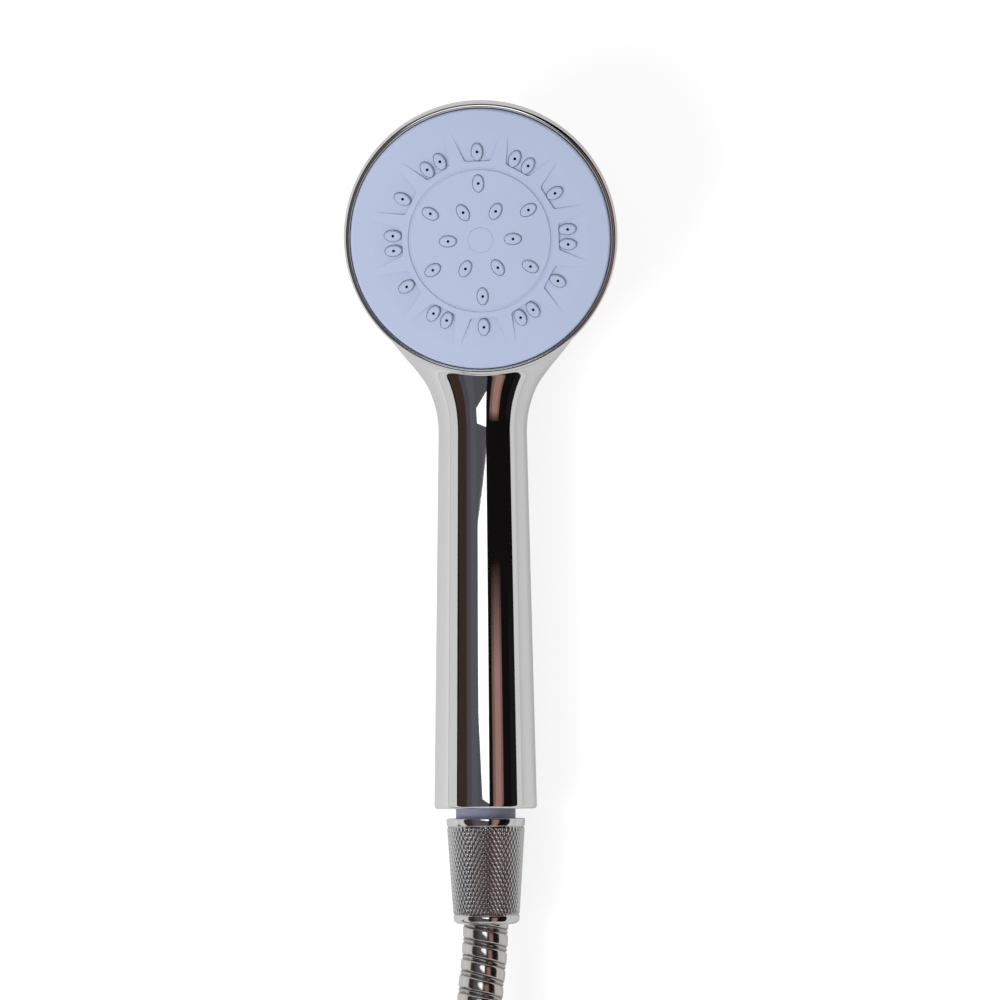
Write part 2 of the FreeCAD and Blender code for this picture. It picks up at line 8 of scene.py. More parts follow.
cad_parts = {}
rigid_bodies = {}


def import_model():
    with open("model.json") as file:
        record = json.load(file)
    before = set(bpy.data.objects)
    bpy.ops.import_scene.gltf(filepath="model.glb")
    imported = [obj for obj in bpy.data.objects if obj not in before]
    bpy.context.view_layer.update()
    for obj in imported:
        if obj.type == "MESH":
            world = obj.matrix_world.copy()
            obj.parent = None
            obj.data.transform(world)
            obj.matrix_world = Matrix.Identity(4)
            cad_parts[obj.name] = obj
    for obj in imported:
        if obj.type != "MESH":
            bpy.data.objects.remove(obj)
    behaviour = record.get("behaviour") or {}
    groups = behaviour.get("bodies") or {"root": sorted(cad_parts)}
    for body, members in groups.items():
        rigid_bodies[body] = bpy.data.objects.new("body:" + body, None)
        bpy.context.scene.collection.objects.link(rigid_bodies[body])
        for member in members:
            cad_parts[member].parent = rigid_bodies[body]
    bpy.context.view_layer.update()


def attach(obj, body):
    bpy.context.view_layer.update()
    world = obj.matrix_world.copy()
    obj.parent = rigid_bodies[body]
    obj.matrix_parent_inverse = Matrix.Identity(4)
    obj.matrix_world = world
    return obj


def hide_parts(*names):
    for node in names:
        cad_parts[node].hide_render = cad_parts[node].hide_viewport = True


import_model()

# Places shared by the pieces below, in metres, in the CAD frame.
handset = {
    "axisHeight": 0.0159814,   # the handle's axis above the surface
    "endY": -0.0903822,        # the handle's lower end
    "tilt": math.radians(19.0),
    "faceCentre": (0.0, 0.08333, 0.047655),
}
axisZ = handset["axisHeight"]
faceCentre = np.array(handset["faceCentre"])
faceUp = np.array([0.0, math.cos(handset["tilt"]), math.sin(handset["tilt"])])
faceOut = np.array([0.0, -math.sin(handset["tilt"]), math.cos(handset["tilt"])])


def smoothStep(t):
    return t * t * (3.0 - 2.0 * t)


# The camera, turned about its own line of sight by roll.
cameraValues = {"aim": (0.0053, 0.0066, 0.016), "elevation": 83.0, "distance": 0.8, "lens": 91.0, "roll": 0.5}


def makeCamera(v):
    data = bpy.data.cameras.new("camera")
    data.lens = v["lens"]
    data.sensor_width = 36.0
    data.clip_start = 0.01
    data.clip_end = 20.0
    camera = bpy.data.objects.new("camera", data)
    bpy.context.scene.collection.objects.link(camera)
    lift = math.radians(v["elevation"])
    back = Vector((0.0, -math.cos(lift), math.sin(lift)))
    camera.location = Vector(v["aim"]) + back * v["distance"]
    pitch = Matrix.Rotation(math.radians(90.0) - lift, 3, "X")
    roll = Matrix.Rotation(math.radians(-v["roll"]), 3, "Z")
    camera.rotation_euler = (pitch @ roll).to_euler()
    bpy.context.scene.camera = camera


makeCamera(cameraValues)
print("camera placed")


# A piece from an array of points and a list of faces.
def newMesh(name, points, faces, smooth=True):
    mesh = bpy.data.meshes.new(name)
    mesh.from_pydata(points.tolist(), [], faces)
    mesh.validate()
    mesh.polygons.foreach_set("use_smooth", [smooth] * len(mesh.polygons))
    mesh.update()
    piece = bpy.data.objects.new(name, mesh)
    bpy.context.scene.collection.objects.link(piece)
    return piece


# How far each vertex lies below the outer surface, 0 to 1, as an attribute for the finish to read; the finish
# darkens the sunk places by it as painted shade.
def markGrooves(piece, depth):
    values = piece.data.attributes.new("groove", "FLOAT", "POINT").data
    values.foreach_set("value", depth.reshape(-1).astype(np.float32))


# A grid's quads: corner (i, j) joins (i, j + 1), (i + 1, j + 1) and (i + 1, j). On a closed grid the last row
# and the last column join the first ones.
def gridFaces(rows, columns, closed):
    less = 0 if closed else 1
    i, j = np.meshgrid(np.arange(rows - less), np.arange(columns - less), indexing="ij")
    nextI, nextJ = (i + 1) % rows, (j + 1) % columns
    corners = [i * columns + j, i * columns + nextJ, nextI * columns + nextJ, nextI * columns + j]
    return np.stack(corners, -1).reshape(-1, 4).tolist()


# The enclosed volume is the sum over triangles of a . (b x c) / 6, and a negative one means that the faces
# point inwards.
def pointOutwards(piece):
    mesh = piece.data
    mesh.calc_loop_triangles()
    points = np.empty(len(mesh.vertices) * 3)
    mesh.vertices.foreach_get("co", points)
    points = points.reshape(-1, 3)
    corners = np.empty(len(mesh.loop_triangles) * 3, dtype=np.int32)
    mesh.loop_triangles.foreach_get("vertices", corners)
    a, b, c = (points[corners.reshape(-1, 3)[:, k]] for k in range(3))
    if np.einsum("ij,ij->i", a, np.cross(b, c)).sum() < 0:
        mesh.flip_normals()


# The hose: a wound metal strip round a soft tube, with the unseen length lying in a coil.
hose = {
    "radius": 0.007,
    "pitch": 0.0052,       # one turn of the wound strip
    "grooveDepth": 0.00050,
    # the strip's section: share of the pitch, and height in groove depths, from one seam to the next
    "section": [(0.0, -0.55), (0.03, -0.12), (0.09, 0.0), (0.30, 0.03), (0.56, 0.0), (0.63, -0.12),
                (0.67, -0.75), (0.72, -1.0), (0.77, -0.30), (0.86, -0.26), (0.94, -0.95)],
    "around": 30,
    "top": -0.1108822,     # where the hose starts, inside the cone nut
    "exit": (0.0, -0.1256822, 0.0159814),
    "coilCentre": (-0.0552, -0.2437822),
    # the coil's angle, radius and height where each stretch starts
    "coil": [(27.0, 0.076, 0.0216), (-255.0, 0.076, 0.0216), (-355.0, 0.068, 0.007),
             (-545.0, 0.068, 0.007), (-665.0, 0.084, 0.007), (-900.0, 0.084, 0.007)],
    "perTurn": 24,
    "nutHeight": 0.014156,
    "pathStep": 0.004,
}


# The coil: (radius cos angle, radius sin angle, height), with radius and height eased along each stretch.
def coilPoints():
    points = []
    x, y = hose["coilCentre"]
    for (a0, r0, z0), (a1, r1, z1) in zip(hose["coil"], hose["coil"][1:]):
        count = max(2, round((a0 - a1) / 360.0 * hose["perTurn"]))
        for i in range(count):
            t = i / count
            angle = math.radians(a0 + (a1 - a0) * t)
            ease = smoothStep(t)
            radius = r0 + (r1 - r0) * ease
            points.append((x + radius * math.cos(angle), y + radius * math.sin(angle), z0 + (z1 - z0) * ease))
    return points


# The whole route: the run from the nut, the coil, and the tail that rises to the far nut's height.
def hoseRoute():
    r = hose["radius"]
    top = hose["top"]
    angle, outer, low = hose["coil"][-1]
    x, y = hose["coilCentre"][0] + outer * math.cos(math.radians(angle)), hose["coilCentre"][1]
    return [
        (0.0, top, axisZ),
        (0.0, top - 0.0205, axisZ),
        (-0.0029, top - 0.0405, 0.0184),
        (-0.0014, top - 0.0605, 0.0219),
        (0.0040, top - 0.0798, 0.0222),
        *coilPoints(),
        (x, y, low),
        (x + 0.0015, y + 0.018, r + 0.0008),
        (x + 0.0050, y + 0.036, r + 0.0045),
        (x + 0.0060, y + 0.054, hose["nutHeight"]),
        (x + 0.0060, y + 0.0715, hose["nutHeight"]),
    ]


# The route as a smooth line, read from a curve that is then removed.
def hoseLine():
    route = hoseRoute()
    curve = bpy.data.curves.new("hose_line", "CURVE")
    curve.dimensions = "3D"
    spline = curve.splines.new("NURBS")
    spline.points.add(len(route) - 1)
    for point, place in zip(spline.points, route):
        point.co = (*place, 1.0)
    spline.order_u = 3
    spline.use_endpoint_u = True
    spline.resolution_u = 24
    holder = bpy.data.objects.new("hose_line", curve)
    bpy.context.scene.collection.objects.link(holder)
    read = bpy.data.meshes.new_from_object(holder)
    line = np.array([v.co[:] for v in read.vertices])
    bpy.data.objects.remove(holder)
    bpy.data.meshes.remove(read)
    return line


# Points at places measured along a line, with unit tangents from the points a little ahead and behind.
def alongLine(line, places, reach=0.002):
    step = np.linalg.norm(np.diff(line, axis=0), axis=1)
    keep = np.concatenate([[True], step > 1e-7])
    line = line[keep]
    length = np.concatenate([[0.0], np.cumsum(np.linalg.norm(np.diff(line, axis=0), axis=1))])

    def at(s):
        return np.stack([np.interp(s, length, line[:, k]) for k in range(3)], -1)

    tangent = at(places + reach) - at(places - reach)
    return at(places), tangent / np.linalg.norm(tangent, axis=-1, keepdims=True)


# The wound strip: point (i, j) lies at arc length (i / n + j / m) pitch and angle 2 pi j / m round the line,
# at the profile's radius for i mod n, so that row i + n follows on from row i after one turn.
def makeHose():
    line = hoseLine()
    total = np.linalg.norm(np.diff(line, axis=0), axis=1).sum()
    r = hose["radius"]
    place, height = np.array(hose["section"]).T
    n, m = len(place), hose["around"]
    turns = int(total / hose["pitch"]) - 1      # a start that slants round the hose takes one turn
    i = np.arange(turns * n)
    j = np.arange(m)
    s = ((i // n)[:, None] + place[i % n][:, None] + j[None, :] / m) * hose["pitch"]
    angle = np.broadcast_to(2 * np.pi * j / m, s.shape)
    centre, tangent = alongLine(line, s.reshape(-1))
    side = np.cross(tangent, [0.0, 0.0, 1.0])
    side /= np.linalg.norm(side, axis=-1, keepdims=True)
    up = np.cross(side, tangent)
    raised = np.broadcast_to(height[i % n][:, None], s.shape)
    radius = (r + raised * hose["grooveDepth"]).reshape(-1, 1)
    turn = angle.reshape(-1, 1)
    points = centre + radius * (np.cos(turn) * side + np.sin(turn) * up)
    rows = len(i)
    quads = gridFaces(rows, m, closed=False)
    k = np.arange(rows - n - 1)
    seam = np.stack([k * m + m - 1, (k + n) * m, (k + n + 1) * m, (k + 1) * m + m - 1], -1).tolist()
    last = (rows - 1) * m
    startCap = list(range(m)) + [k * m for k in range(n, 0, -1)]
    endCap = [last + b for b in range(m)] + [(rows - 1 - k) * m + m - 1 for k in range(1, n + 1)]
    piece = newMesh("hose_skin", points, quads + seam + [startCap[::-1], endCap])
    pointOutwards(piece)
    markGrooves(piece, -raised)
    steps = np.arange(hose["pathStep"], total, hose["pathStep"])
    middle = np.concatenate([line[:1], alongLine(line, steps)[0], line[-1:]])
    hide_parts("hose_run", "hose_coil", "hose_tail")
    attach(piece, "hose")
    print("hose:", round(float(total), 3), "m,", len(piece.data.polygons), "faces")


makeHose()


# The chrome body: handle, neck and bowl in one hollow shell, open at the face and at the handle's lower end.
body = {
    "endRadius": 0.016,
    "topRadius": 0.014,
    "length": 0.119,
    "edgeRound": 0.0011,
    "bowlRadius": 0.0424,
    "bowlDepth": 0.022,
    "bulgeDepth": 0.005,
    "headRadius": 0.042,
    "lip": 0.00165,
    "rimRound": 0.0011,
    "ledgeDepth": 0.0060,      # where the spray plate's edge rests
    "ledgeWidth": 0.0016,
    "neckLength": 0.0528,
    # the neck past the handle: share of its length, half width, front and back beyond the handle's radius
    "neck": [(0.0, 0.0, 0.0, 0.0), (0.1, 0.00046, 0.0003, 0.0003), (0.2, 0.00185, 0.0011, 0.0010),
             (0.3, 0.00435, 0.0022, 0.0020), (0.4, 0.0083, 0.0032, 0.0036), (0.53, 0.0112, 0.0046, 0.0064),
             (0.67, 0.0116, 0.0064, 0.0100), (0.83, 0.0095, 0.0086, 0.0146), (1.0, 0.0050, 0.0110, 0.0205)],
    "blend": 0.011,            # how softly the neck runs into the bowl
    "blendLeast": 0.0008,
    "blendStart": 0.002,       # depth below the face at which the softening starts, and how far it grows
    "blendGrows": 0.012,
    "wall": 0.0022,
    "boreRadius": 0.0136,
    "boreDepth": 0.0071,
    "around": 168,
    "pivotBelow": 0.0025,      # from the rim's foot to the line that the head's rows turn about
    "pivotPast": 0.0002,
    "farthest": 0.075,         # how far from its start a row looks for the wall
    "probes": 90,
    "halvings": 34,
}


# Natural cubic spline. Its second slopes m solve, with h the steps between the stations,
# h(i-1) m(i-1) + 2 (h(i-1) + h(i)) m(i) + h(i) m(i+1) = 6 (change of slope at i).
def splineThrough(xs, ys, x):
    n = len(xs)
    h = np.diff(xs)
    slope = np.diff(ys) / h
    system = np.eye(n)
    right = np.zeros(n)
    for k in range(1, n - 1):
        system[k, k - 1:k + 2] = h[k - 1], 2 * (h[k - 1] + h[k]), h[k]
        right[k] = 6 * (slope[k] - slope[k - 1])
    m = np.linalg.solve(system, right)
    k = np.clip(np.searchsorted(xs, x) - 1, 0, n - 2)
    a, b = (xs[k + 1] - x) / h[k], (x - xs[k]) / h[k]
    bend = ((a ** 3 - a) * m[k] + (b ** 3 - b) * m[k + 1]) * h[k] ** 2 / 6
    return a * ys[k] + b * ys[k + 1] + bend


# How much the handle's radius grows per metre towards its lower end.
def handleTaper():
    return (body["endRadius"] - body["topRadius"]) / body["length"]


# Distance-like value of the handle and neck: (length of (x / a, z / b) - 1) times the smaller of a and b,
# cut off at the neck's far end.
def neckValue(x, y, z):
    along = y - body["length"]
    t = np.clip(along / body["neckLength"], 0.0, 1.0)
    base = np.where(along < 0, body["topRadius"] - handleTaper() * along, body["topRadius"])
    stations, *columns = np.array(body["neck"]).T
    wide, front, back = (splineThrough(stations, column, t) for column in columns)
    a = base + wide
    top, low = base + front, -base + back
    b, middle = (top - low) / 2, (top + low) / 2
    value = (np.sqrt((x / a) ** 2 + ((z - middle) / b) ** 2) - 1.0) * np.minimum(a, b)
    return np.maximum(value, y - (body["length"] + body["neckLength"]))


# The same for the head, from across (u) and out of (w) the face: half an ellipse below the bulge, and a side
# that leans in towards the rim above it. It also gives w.
def bowlValue(x, y, z):
    dy, dz = y - (faceCentre[1] - handset["endY"]), z - (faceCentre[2] - axisZ)
    v = dy * faceUp[1] + dz * faceUp[2]
    w = dy * faceOut[1] + dz * faceOut[2]
    u = np.sqrt(x ** 2 + v ** 2)
    wide, deep = body["bowlRadius"], body["bowlDepth"]
    above = w + body["bulgeDepth"]
    q = np.sqrt((u / wide) ** 2 + (above / deep) ** 2)
    bowl = (q - 1.0) * (deep + (wide - deep) * (u / wide) ** 2)
    lean = (wide - body["headRadius"]) / (body["bulgeDepth"] - body["rimRound"])
    side = u - wide + np.clip(above, 0, None) * lean
    return np.where(w > -body["bulgeDepth"], side, bowl), w


# Smooth union: the two values mixed by h = 0.5 + 0.5 (b - a) / k, less k h (1 - h). The k fades out near the
# rim.
def bodyValue(x, y, z):
    a = neckValue(x, y, z)
    b, w = bowlValue(x, y, z)
    fade = np.clip((-w - body["blendStart"]) / body["blendGrows"], 0.0, 1.0)
    k = body["blendLeast"] + body["blend"] * smoothStep(fade)
    h = np.clip(0.5 + 0.5 * (b - a) / k, 0.0, 1.0)
    return b + (a - b) * h - k * h * (1 - h)


# Rows of points where the body's value passes a level: rows across the handle, then rows that turn about a
# line in front of the rim's foot, up to the rim's plane. A row's rays leave its start in one plane, at angles
# phi.
def bodyRows(level, tilts, handleRows):
    columns = body["around"]
    phi = 2 * np.pi * np.arange(columns) / columns
    cosPhi, sinPhi = np.cos(phi)[None, :], np.sin(phi)[None, :]
    centreYZ = np.array([faceCentre[1] - handset["endY"], faceCentre[2] - axisZ])
    lastReach = body["headRadius"] + body["pivotBelow"]
    pivot = centreYZ - faceUp[1:] * lastReach - faceOut[1:] * body["rimRound"]
    firstReach = pivot[1] + body["pivotPast"]      # from the pivot to the axis in the first turning plane
    starts = [(y, 0.0) for y in handleRows]
    directions = [(0.0, -1.0) for y in handleRows]
    for t in tilts:
        angle = -np.pi / 2 + (handset["tilt"] + np.pi / 2) * t
        direction = np.array([math.cos(angle), math.sin(angle)])
        reach = firstReach + (lastReach - firstReach) * smoothStep(t) ** 0.8
        starts.append(pivot + direction * reach)
        directions.append(direction)
    start = np.array(starts)[:, None, :]
    ray = np.array(directions)[:, None, :]

    def pointsAt(far):
        away = far * sinPhi
        return far * cosPhi, start[..., 0] + away * ray[..., 0], start[..., 1] + away * ray[..., 1]

    low = np.zeros((len(starts), columns))
    high = np.full((len(starts), columns), body["farthest"])
    # the wall is where the value first passes the level along each ray
    probe = np.linspace(0.002, body["farthest"], body["probes"])
    found = np.zeros_like(low, dtype=bool)
    for near, far in zip(probe[:-1], probe[1:]):
        hit = (bodyValue(*pointsAt(far)) > level) & ~found
        low = np.where(hit, near, low)
        high = np.where(hit, far, high)
        found |= hit
    for _ in range(body["halvings"]):
        middle = (low + high) / 2
        outside = bodyValue(*pointsAt(middle)) > level
        high = np.where(outside, middle, high)
        low = np.where(outside, low, middle)
    x, y, z = pointsAt(middle)
    return np.stack([x, y + handset["endY"], z + axisZ], -1)


# Rings round the face's axis at (radius, height out of the face).
def faceRing(radius, height):
    phi = 2 * np.pi * np.arange(body["around"]) / body["around"]
    across = np.cos(phi)[:, None] * np.array([1.0, 0, 0]) + np.sin(phi)[:, None] * faceUp
    return faceCentre + radius * across + height * faceOut


# Rings round the handle's axis at (radius, place along it).
def handleRing(radius, along):
    phi = 2 * np.pi * np.arange(body["around"]) / body["around"]
    return np.stack([radius * np.cos(phi), np.full_like(phi, handset["endY"] + along),
                     axisZ - radius * np.sin(phi)], -1)


# The shell's rows in order: the foot's rounding, the outside up to the rim, the rim's rounding, the mouth and
# its ledge, the inside back down, and the bore for the collar. The last row joins the first.
def makeBody():
    r, rimR = body["edgeRound"], body["rimRound"]
    footR = body["endRadius"] - handleTaper() * r - r
    rimInner = body["headRadius"] - rimR
    arc = np.linspace(0, np.pi / 2, 7)
    foot = [handleRing(footR + r * math.sin(a), r - r * math.cos(a)) for a in arc[:-1]]
    rim = [faceRing(rimInner + rimR * math.cos(a), -rimR + rimR * math.sin(a)) for a in arc]
    # closer rows where the neck starts to swell
    outerRows = np.concatenate([np.linspace(r, 0.110, 60), np.linspace(0.1115, 0.1305, 18)])
    outer = bodyRows(0.0, (np.linspace(0, 1, 150) ** 0.9)[:-1], outerRows)
    innerRows = np.linspace(body["boreDepth"] + 0.003, 0.128, 30)
    inner = bodyRows(-body["wall"], np.linspace(0, 0.93, 40), innerRows)
    openR, ledge = body["headRadius"] - body["lip"], -body["ledgeDepth"]
    mouth = [(openR + 0.00035, 0.0), (openR + 0.0001, -0.0001), (openR, -0.00035), (openR, ledge),
             (openR - body["ledgeWidth"], ledge)]
    boreR, boreDepth = body["boreRadius"], body["boreDepth"]
    bore = [(boreR - 0.0011, boreDepth), (boreR - 0.00005, boreDepth), (boreR, boreDepth - 0.0001),
            (boreR, 0.00025), (boreR + 0.0002, 0.00003), (boreR + 0.0004, 0.0)]
    rows = [*foot, *outer, *rim, *(faceRing(*place) for place in mouth), *inner[::-1],
            *(handleRing(*place) for place in bore)]
    piece = newMesh("body_skin", np.concatenate(rows), gridFaces(len(rows), body["around"], closed=True))
    pointOutwards(piece)
    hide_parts("body_shell")
    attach(piece, "handset")
    print("body:", len(piece.data.polygons), "faces")


makeBody()


# The knurled cone nut.
nut = {
    "top": -0.0029,
    "length": 0.0324,
    "topRadius": 0.0123,
    "bottomRadius": 0.0101,
    "bandTop": 0.0023,
    "bandBottom": 0.0025,
    "diamonds": 52,
    "diamondHeight": 0.0026,
    "knurlDepth": 0.00036,
    "knurlFlat": 0.56,         # how far from its middle a diamond stays at full height, as a share
    "knurlEnd": 0.0005,        # where the knurl fades out beside a band
    "knurlEndDepth": 0.8,
    "perDiamond": 8,
    "edge": 0.0004,
    "bore": 0.0105475,
    "sleeveBore": 0.00815,
    "lipBore": 0.00735,
    "lipHeight": 0.0033,
    "shoulder": -0.0186,       # where the wide bore ends
}


# Cone radius less a knurl: with u the count of diamonds round and t the count along, first and second are the
# distances of u + t and u - t from their middles, and the larger one sets the depth. This leaves four-sided
# points between crossing grooves. The rows are the top edge and band, the knurl, the lower band and edge, and
# the stepped bore back up.
def makeNut():
    v = nut
    top, low = v["top"], v["top"] - v["length"]
    edge, deep = v["edge"], v["knurlDepth"]
    slope = (v["topRadius"] - v["bottomRadius"]) / v["length"]
    bandTop = top - v["bandTop"]
    knurlHigh, knurlLow = bandTop - edge, low + v["bandBottom"] + edge

    def cone(y):
        return v["topRadius"] - slope * (top - y)

    columns = v["diamonds"] * v["perDiamond"]
    theta = 2 * np.pi * np.arange(columns) / columns
    steps = int((knurlHigh - knurlLow) / (v["diamondHeight"] / v["perDiamond"])) + 1
    height = np.linspace(knurlHigh, knurlLow, steps)[:, None]
    u = v["diamonds"] * theta[None, :] / (2 * np.pi)
    t = (height - knurlLow) / v["diamondHeight"]
    first, second = np.abs((u + t) % 1.0 - 0.5) * 2, np.abs((u - t) % 1.0 - 0.5) * 2
    groove = np.clip((np.maximum(first, second) - v["knurlFlat"]) / (1 - v["knurlFlat"]), 0.0, 1.0)
    ends = np.clip(np.minimum(knurlHigh - height, height - knurlLow) / v["knurlEnd"], 0.0, 1.0)
    cut = groove * ends + (1 - ends) * v["knurlEndDepth"]

    def rings(radius, y):
        return np.stack(np.broadcast_arrays(radius * np.sin(theta), y, radius * np.cos(theta)), -1)

    above = [(v["bore"] + edge, top), (v["topRadius"] - edge, top), (v["topRadius"] - 0.0001, top - 0.0001),
             (cone(top - edge), top - edge), (cone(bandTop), bandTop),
             (cone(bandTop) - 0.0001, bandTop - 0.0001), (cone(knurlHigh) - deep, bandTop - 0.00015)]
    below = [(cone(knurlLow) - deep, knurlLow - 0.00025), (cone(knurlLow) - 0.0001, knurlLow - 0.0003),
             (cone(knurlLow - edge), knurlLow - edge), (cone(low + 0.0010), low + 0.0010),
             (cone(low + 0.0010) - 0.0002, low + 0.0007), (v["bottomRadius"] - 0.0009, low + 0.0001),
             (v["bottomRadius"] - 0.0012, low), (v["lipBore"] + 0.0003, low), (v["lipBore"], low + 0.0003),
             (v["lipBore"], low + v["lipHeight"]), (v["sleeveBore"], low + v["lipHeight"]),
             (v["sleeveBore"], v["shoulder"]), (v["bore"], v["shoulder"]), (v["bore"], top - edge)]
    rows = [*(rings(*place) for place in above), *rings(cone(height) - deep * cut, height),
            *(rings(*place) for place in below)]
    points = np.concatenate(rows) + np.array([0.0, handset["endY"], axisZ])
    piece = newMesh("cone_nut_skin", points, gridFaces(len(rows), columns, closed=True))
    pointOutwards(piece)
    sunk = np.zeros((len(rows), columns))
    sunk[len(above):len(above) + steps] = cut
    markGrooves(piece, sunk)
    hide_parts("cone_nut")
    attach(piece, "cone_nut")
    print("cone nut:", len(piece.data.polygons), "faces")


makeNut()


# A node: an input given as a socket is linked, and any other value is set on the socket itself.
def addNode(tree, kind, inputs=None, **settings):
    node = tree.nodes.new(kind)
    for key, value in settings.items():
        setattr(node, key, value)
    for key, value in (inputs or {}).items():
        if isinstance(value, bpy.types.NodeSocket):
            tree.links.new(value, node.inputs[key])
        else:
            node.inputs[key].default_value = value
    return node


def mathNode(tree, operation, *values, clamp=False):
    node = addNode(tree, "ShaderNodeMath", dict(enumerate(values)), operation=operation, use_clamp=clamp)
    return node.outputs[0]


def mixColour(tree, factor, first, second):
    node = addNode(tree, "ShaderNodeMix", {0: factor, 6: first, 7: second}, data_type="RGBA")
    return node.outputs[2]


# A value mapped from low..high to outLow..outHigh, and held at the ends.
def rampBetween(tree, value, low, high, outLow, outHigh):
    inputs = {"Value": value, "From Min": low, "From Max": high, "To Min": outLow, "To Max": outHigh}
    return addNode(tree, "ShaderNodeMapRange", inputs, clamp=True).outputs[0]


def noise(tree, scale, detail=3.0, roughness=0.5):
    place = addNode(tree, "ShaderNodeTexCoord").outputs["Object"]
    inputs = {"Vector": place, "Scale": scale, "Detail": detail, "Roughness": roughness}
    return addNode(tree, "ShaderNodeTexNoise", inputs).outputs["Fac"]


# An empty shader group with its inputs' starting values, and its inner ends.
def newGroup(name, inputs, outputs):
    group = bpy.data.node_groups.new(name, "ShaderNodeTree")
    for label, value in inputs.items():
        group.interface.new_socket(label, in_out="INPUT", socket_type="NodeSocketFloat").default_value = value
    for label in outputs:
        group.interface.new_socket(label, in_out="OUTPUT", socket_type="NodeSocketFloat")
    return group, group.nodes.new("NodeGroupInput").outputs, group.nodes.new("NodeGroupOutput").inputs


# Smudges: broad soft patches times finer ones, for where hands and dried water have dulled a finish.
def makeSmudgeGroup():
    group, given, out = newGroup("smudges", {"Scale": 60.0, "Amount": 0.5}, ["Mask"])
    broad = noise(group, given["Scale"], 4.0, 0.6)
    fine = noise(group, mathNode(group, "MULTIPLY", given["Scale"], 7.3), 6.0, 0.7)
    both = mathNode(group, "MULTIPLY", rampBetween(group, broad, 0.42, 0.72, 0.0, 1.0),
                    rampBetween(group, fine, 0.3, 0.7, 0.25, 1.0))
    group.links.new(mathNode(group, "MULTIPLY", both, given["Amount"], clamp=True), out["Mask"])
    return group


# Grain: fine noise as a height, and a slower copy that varies the roughness.
def makeGrainGroup():
    group, given, out = newGroup("grain", {"Scale": 900.0}, ["Height", "Spread"])
    group.links.new(noise(group, given["Scale"], 2.0, 0.5), out["Height"])
    slow = mathNode(group, "MULTIPLY", given["Scale"], 0.08)
    group.links.new(noise(group, slow, 3.0, 0.6), out["Spread"])
    return group


# Specks: the peaks of a fine noise, for pitting, lime and dust.
def makeSpeckGroup():
    group, given, out = newGroup("specks", {"Scale": 1200.0, "Share": 0.3}, ["Mask"])
    fine = noise(group, given["Scale"], 1.0, 0.4)
    limit = mathNode(group, "SUBTRACT", 0.86, mathNode(group, "MULTIPLY", given["Share"], 0.25))
    above = mathNode(group, "MULTIPLY", mathNode(group, "SUBTRACT", fine, limit), 18.0, clamp=True)
    group.links.new(above, out["Mask"])
    return group


smudges, grain, specks = makeSmudgeGroup(), makeGrainGroup(), makeSpeckGroup()


def useGroup(tree, group, **values):
    node = addNode(tree, "ShaderNodeGroup", node_tree=group)
    for label, value in values.items():
        node.inputs[label].default_value = value
    return node.outputs


# A material with one Principled shader, whose sockets' plain values are given by name.
def newMaterial(name, **constants):
    material = bpy.data.materials.new(name)
    material.use_nodes = True
    tree = material.node_tree
    tree.nodes.clear()
    shader = tree.nodes.new("ShaderNodeBsdfPrincipled")
    for label, value in constants.items():
        shader.inputs[label.replace("_", " ")].default_value = value
    out = tree.nodes.new("ShaderNodeOutputMaterial")
    tree.links.new(shader.outputs[0], out.inputs["Surface"])
    return material, tree, shader


# One finish: two near colours mixed by smudges, specks over them, roughness from grain and smudges, and a
# fine bump. Where a groove strength is given, sunk places get painted shade and more roughness.
def finish(name, v):
    material, tree, shader = newMaterial(name, Metallic=v.get("metallic", 0.0))
    dull = useGroup(tree, smudges, Scale=v["smudgeScale"], Amount=v["smudges"])["Mask"]
    fine = useGroup(tree, grain, Scale=v["grainScale"])
    spots = useGroup(tree, specks, Scale=v["speckScale"], Share=v["specks"])["Mask"]
    colour = mixColour(tree, dull, (*v["colour"], 1.0), (*v["dullColour"], 1.0))
    spots = mathNode(tree, "MULTIPLY", spots, v["speckStrength"])
    colour = mixColour(tree, spots, colour, (*v["speckColour"], 1.0))
    rough = mathNode(tree, "MULTIPLY_ADD", fine["Spread"], v["spread"], v["roughness"] - v["spread"] / 2)
    rough = mathNode(tree, "MULTIPLY_ADD", dull, v["dullRoughness"], rough)
    if v.get("groove"):
        # painted shade: sunk places are darker, and also rougher, from the piece's own attribute
        deep = addNode(tree, "ShaderNodeAttribute", attribute_name="groove").outputs["Fac"]
        # how much painted shade the sunk places get
        dark = mathNode(tree, "MULTIPLY", deep, v["groove"])
        colour = mixColour(tree, dark, colour, (*v["paintedGrooveShade"], 1.0))
        rough = mathNode(tree, "MULTIPLY_ADD", deep, v["grooveRoughness"], rough)
    tree.links.new(colour, shader.inputs["Base Color"])
    tree.links.new(rough, shader.inputs["Roughness"])
    bump = addNode(tree, "ShaderNodeBump", {"Strength": v["bump"], "Distance": v["bumpDepth"],
                                            "Height": fine["Height"]})
    tree.links.new(bump.outputs[0], shader.inputs["Normal"])
    return material


